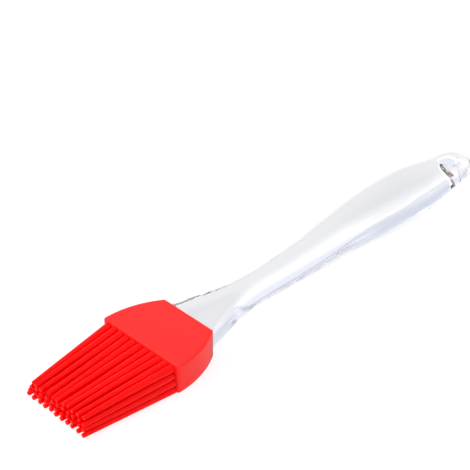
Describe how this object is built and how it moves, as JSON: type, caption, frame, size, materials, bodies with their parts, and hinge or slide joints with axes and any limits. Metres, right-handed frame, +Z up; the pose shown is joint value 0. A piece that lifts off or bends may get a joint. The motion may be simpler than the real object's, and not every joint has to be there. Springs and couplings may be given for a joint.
{
  "type": "pastry brush",
  "caption": "Silicone pastry and basting brush: clear plastic handle with a hang hole and a pull-off red head with rows of flexible tapered bristles.",
  "frame": {"origin": "centre of the brush's footprint, on the surface it lies on", "axes": "+Z up with the brush lying flat, +Y from the bristle tips towards the end of the handle, +X across the head"},
  "size_m": [0.0314, 0.17, 0.0137],
  "materials": {
    "clear_plastic": "polished clear moulded plastic",
    "red_silicone": "smooth satin moulded silicone"
  },
  "bodies": {
    "handle": {"handle": "clear_plastic"},
    "head": {"head_block": "red_silicone"},
    "bristle_row_a": {"bristle_a01": "red_silicone", "bristle_a02": "red_silicone", "bristle_a03": "red_silicone", "bristle_a04": "red_silicone", "bristle_a05": "red_silicone", "bristle_a06": "red_silicone", "bristle_a07": "red_silicone", "bristle_a08": "red_silicone", "bristle_a09": "red_silicone", "bristle_a10": "red_silicone", "bristle_a11": "red_silicone"},
    "bristle_row_b": {"bristle_b01": "red_silicone", "bristle_b02": "red_silicone", "bristle_b03": "red_silicone", "bristle_b04": "red_silicone", "bristle_b05": "red_silicone", "bristle_b06": "red_silicone", "bristle_b07": "red_silicone", "bristle_b08": "red_silicone", "bristle_b09": "red_silicone", "bristle_b10": "red_silicone", "bristle_b11": "red_silicone"},
    "bristle_row_c": {"bristle_c01": "red_silicone", "bristle_c02": "red_silicone", "bristle_c03": "red_silicone", "bristle_c04": "red_silicone", "bristle_c05": "red_silicone", "bristle_c06": "red_silicone", "bristle_c07": "red_silicone", "bristle_c08": "red_silicone", "bristle_c09": "red_silicone", "bristle_c10": "red_silicone", "bristle_c11": "red_silicone"},
    "bristle_row_d": {"bristle_d01": "red_silicone", "bristle_d02": "red_silicone", "bristle_d03": "red_silicone", "bristle_d04": "red_silicone", "bristle_d05": "red_silicone", "bristle_d06": "red_silicone", "bristle_d07": "red_silicone", "bristle_d08": "red_silicone", "bristle_d09": "red_silicone", "bristle_d10": "red_silicone", "bristle_d11": "red_silicone"}
  },
  "joints": [
    {"name": "head_pull", "type": "slide", "parent": "handle", "child": "head", "axis": [0, -1, 0], "range_m": [0, 0.02]},
    {"name": "row_a_bend", "type": "hinge", "parent": "head", "child": "bristle_row_a", "pos_m": [0, -0.0526, 0.00865], "axis": [1, 0, 0], "range_deg": [-20, 20], "stiffness_Nm_per_rad": 0.004},
    {"name": "row_b_bend", "type": "hinge", "parent": "head", "child": "bristle_row_b", "pos_m": [0, -0.0526, 0.00625], "axis": [1, 0, 0], "range_deg": [-20, 20], "stiffness_Nm_per_rad": 0.004},
    {"name": "row_c_bend", "type": "hinge", "parent": "head", "child": "bristle_row_c", "pos_m": [0, -0.0526, 0.00385], "axis": [1, 0, 0], "range_deg": [-20, 20], "stiffness_Nm_per_rad": 0.004},
    {"name": "row_d_bend", "type": "hinge", "parent": "head", "child": "bristle_row_d", "pos_m": [0, -0.0526, 0.00145], "axis": [1, 0, 0], "range_deg": [-20, 20], "stiffness_Nm_per_rad": 0.004}
  ],
  "couplings": [
    {"joint": "row_b_bend", "follows": "row_a_bend", "ratio": 1},
    {"joint": "row_c_bend", "follows": "row_a_bend", "ratio": 1},
    {"joint": "row_d_bend", "follows": "row_a_bend", "ratio": 1}
  ]
}
